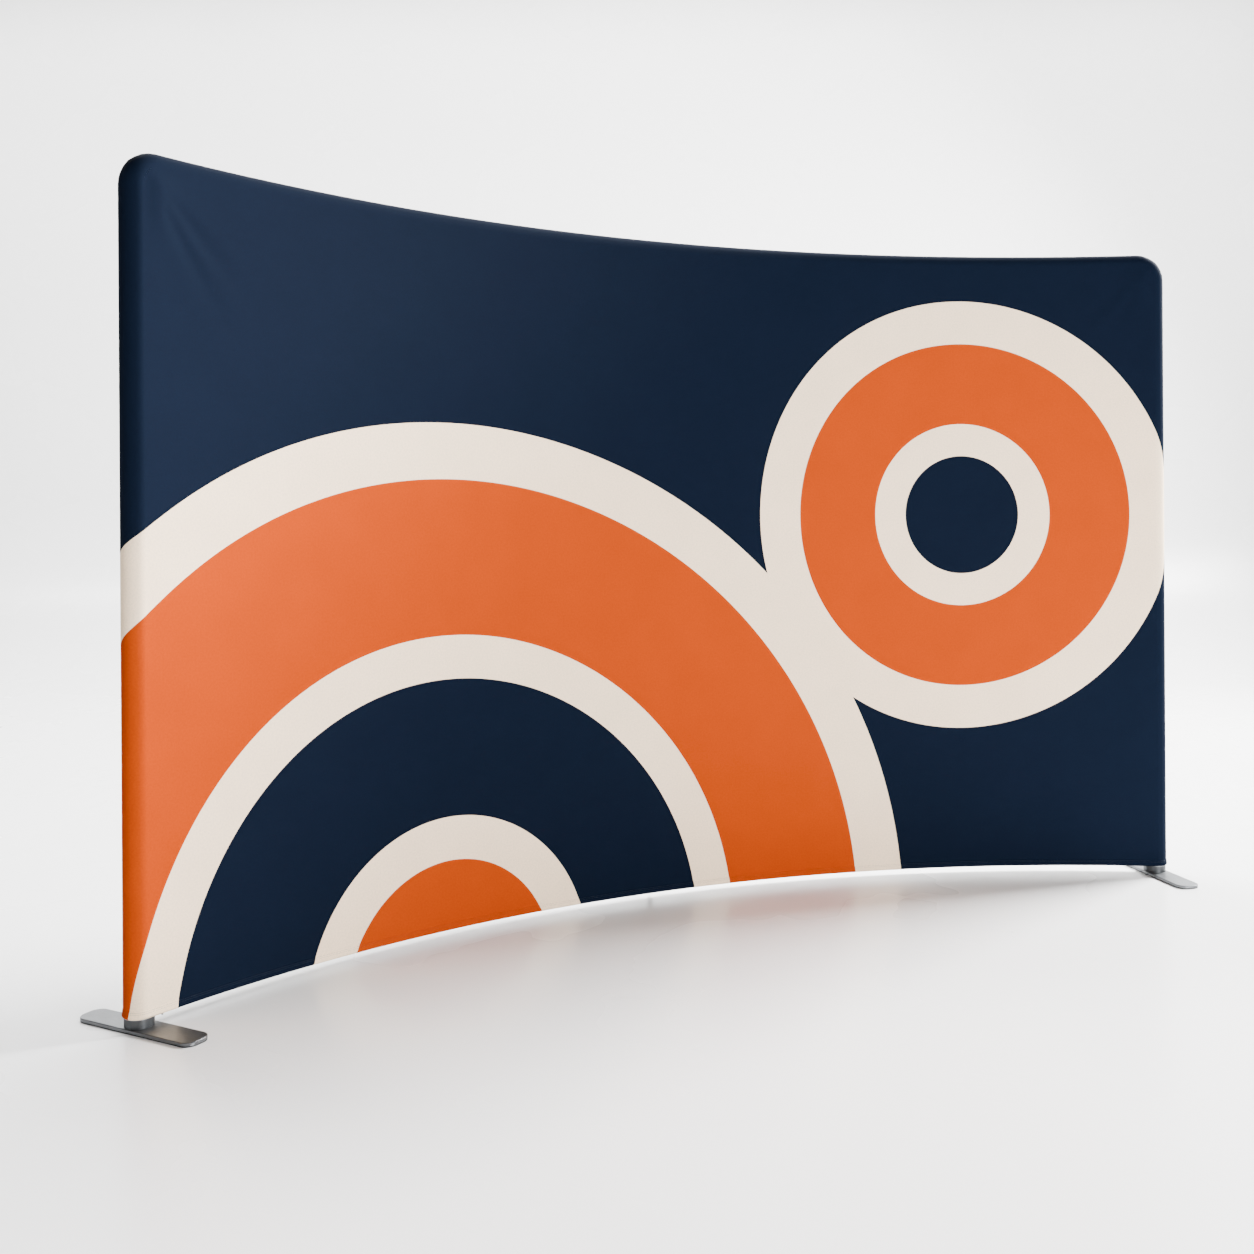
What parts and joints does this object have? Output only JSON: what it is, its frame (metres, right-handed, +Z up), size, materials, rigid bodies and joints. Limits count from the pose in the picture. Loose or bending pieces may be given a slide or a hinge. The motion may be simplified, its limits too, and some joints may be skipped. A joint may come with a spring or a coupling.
{
  "type": "curved fabric display wall",
  "caption": "Free-standing curved display wall: a zipped stretch-fabric cover over a plug-together round-tube frame, on two swivelling flat feet.",
  "frame": {"origin": "on the floor, under the middle of the whole wall's outline seen from above", "axes": "+Z up; the wall runs along X; its hollow, printed side faces -Y"},
  "size_m": [3.8268, 0.884, 2.3359],
  "materials": {
    "printed_fabric": "matt dye-printed stretch knit",
    "plain_fabric": "matt unprinted stretch knit",
    "zip_tape": "woven tape with moulded teeth",
    "zip_metal": "satin nickel plate",
    "anodised_tube": "satin anodised tube",
    "cast_corner": "tumbled casting",
    "saddle_plastic": "moulded nylon",
    "spring_steel": "bright spring steel",
    "foot_steel": "satin powder-coated plate",
    "foot_rubber": "matt rubber",
    "collar_steel": "satin turned steel",
    "screw_steel": "zinc plated",
    "stay_steel": "satin powder-coated rod"
  },
  "bodies": {
    "wall": {"cover_front": "printed_fabric", "cover_back": "plain_fabric", "zip_front": "zip_tape", "zip_back": "zip_tape", "zip_stops": "zip_metal", "top_rail_1": "anodised_tube", "top_rail_2": "anodised_tube", "top_rail_3": "anodised_tube", "bottom_rail_1": "anodised_tube", "bottom_rail_2": "anodised_tube", "bottom_rail_3": "anodised_tube", "elbow_left": "cast_corner", "elbow_right": "cast_corner", "post_upper_left": "anodised_tube", "post_upper_right": "anodised_tube", "post_lower_left": "anodised_tube", "post_lower_right": "anodised_tube", "tee_left": "cast_corner", "tee_right": "cast_corner", "pole_upper": "anodised_tube", "pole_lower": "anodised_tube", "saddle_top": "saddle_plastic", "saddle_bottom": "saddle_plastic", "stay_boss": "stay_steel", "rear_stay": "stay_steel", "stay_tip": "foot_rubber", "back_eyelet": "zip_metal"},
    "zip_slider": {"zip_slider": "zip_metal"},
    "zip_puller": {"zip_puller": "zip_metal"},
    "button_top_1": {"button_top_1": "spring_steel"},
    "button_top_2": {"button_top_2": "spring_steel"},
    "button_top_3": {"button_top_3": "spring_steel"},
    "button_top_4": {"button_top_4": "spring_steel"},
    "button_bottom_1": {"button_bottom_1": "spring_steel"},
    "button_bottom_2": {"button_bottom_2": "spring_steel"},
    "button_bottom_3": {"button_bottom_3": "spring_steel"},
    "button_bottom_4": {"button_bottom_4": "spring_steel"},
    "button_elbow_left": {"button_elbow_left": "spring_steel"},
    "button_elbow_right": {"button_elbow_right": "spring_steel"},
    "button_post_left": {"button_post_left": "spring_steel"},
    "button_post_right": {"button_post_right": "spring_steel"},
    "button_tee_left": {"button_tee_left": "spring_steel"},
    "button_tee_right": {"button_tee_right": "spring_steel"},
    "button_pole": {"button_pole": "spring_steel"},
    "foot_left": {"foot_plate_left": "foot_steel", "foot_pad_left": "foot_rubber", "foot_stem_left": "collar_steel", "foot_screws_left": "screw_steel"},
    "foot_right": {"foot_plate_right": "foot_steel", "foot_pad_right": "foot_rubber", "foot_stem_right": "collar_steel", "foot_screws_right": "screw_steel"}
  },
  "joints": [
    {"name": "foot_left_swivel", "type": "hinge", "parent": "wall", "child": "foot_left", "pos_m": [-1.77113, -0.22216, 0.036], "axis": [0, 0, 1], "continuous": true},
    {"name": "foot_right_swivel", "type": "hinge", "parent": "wall", "child": "foot_right", "pos_m": [1.83686, -0.22216, 0.036], "axis": [0, 0, 1], "continuous": true},
    {"name": "zip_travel", "type": "hinge", "parent": "wall", "child": "zip_slider", "pos_m": [0.03286, -3.22196, 0], "axis": [0, 0, -1], "range_deg": [0, 59.77]},
    {"name": "puller_swing", "type": "hinge", "parent": "zip_slider", "child": "zip_puller", "pos_m": [-1.71099, -0.18733, 0.03305], "axis": [-0.4982, 0.867, 0], "range_deg": [-80, 80]},
    {"name": "button_top_1_press", "type": "slide", "parent": "wall", "child": "button_top_1", "axis": [0, 0, 1], "range_m": [0, 0.0052], "stiffness_N_per_m": 800, "springref_m": -0.01},
    {"name": "button_bottom_1_press", "type": "slide", "parent": "wall", "child": "button_bottom_1", "axis": [0, 0, -1], "range_m": [0, 0.0052], "stiffness_N_per_m": 800, "springref_m": -0.01},
    {"name": "button_top_2_press", "type": "slide", "parent": "wall", "child": "button_top_2", "axis": [0, 0, 1], "range_m": [0, 0.0052], "stiffness_N_per_m": 800, "springref_m": -0.01},
    {"name": "button_bottom_2_press", "type": "slide", "parent": "wall", "child": "button_bottom_2", "axis": [0, 0, -1], "range_m": [0, 0.0052], "stiffness_N_per_m": 800, "springref_m": -0.01},
    {"name": "button_top_3_press", "type": "slide", "parent": "wall", "child": "button_top_3", "axis": [0, 0, 1], "range_m": [0, 0.0052], "stiffness_N_per_m": 800, "springref_m": -0.01},
    {"name": "button_bottom_3_press", "type": "slide", "parent": "wall", "child": "button_bottom_3", "axis": [0, 0, -1], "range_m": [0, 0.0052], "stiffness_N_per_m": 800, "springref_m": -0.01},
    {"name": "button_top_4_press", "type": "slide", "parent": "wall", "child": "button_top_4", "axis": [0, 0, 1], "range_m": [0, 0.0052], "stiffness_N_per_m": 800, "springref_m": -0.01},
    {"name": "button_bottom_4_press", "type": "slide", "parent": "wall", "child": "button_bottom_4", "axis": [0, 0, -1], "range_m": [0, 0.0052], "stiffness_N_per_m": 800, "springref_m": -0.01},
    {"name": "button_elbow_right_press", "type": "slide", "parent": "wall", "child": "button_elbow_right", "axis": [0.8653, -0.5013, 0], "range_m": [0, 0.0052], "stiffness_N_per_m": 800, "springref_m": -0.01},
    {"name": "button_elbow_left_press", "type": "slide", "parent": "wall", "child": "button_elbow_left", "axis": [-0.8653, -0.5013, 0], "range_m": [0, 0.0052], "stiffness_N_per_m": 800, "springref_m": -0.01},
    {"name": "button_post_right_press", "type": "slide", "parent": "wall", "child": "button_post_right", "axis": [0.8653, -0.5013, 0], "range_m": [0, 0.0052], "stiffness_N_per_m": 800, "springref_m": -0.01},
    {"name": "button_post_left_press", "type": "slide", "parent": "wall", "child": "button_post_left", "axis": [-0.8653, -0.5013, 0], "range_m": [0, 0.0052], "stiffness_N_per_m": 800, "springref_m": -0.01},
    {"name": "button_tee_right_press", "type": "slide", "parent": "wall", "child": "button_tee_right", "axis": [0.8653, -0.5013, 0], "range_m": [0, 0.0052], "stiffness_N_per_m": 800, "springref_m": -0.01},
    {"name": "button_tee_left_press", "type": "slide", "parent": "wall", "child": "button_tee_left", "axis": [-0.8653, -0.5013, 0], "range_m": [0, 0.0052], "stiffness_N_per_m": 800, "springref_m": -0.01},
    {"name": "button_pole_press", "type": "slide", "parent": "wall", "child": "button_pole", "axis": [1, 0, 0], "range_m": [0, 0.0052], "stiffness_N_per_m": 800, "springref_m": -0.01}
  ]
}
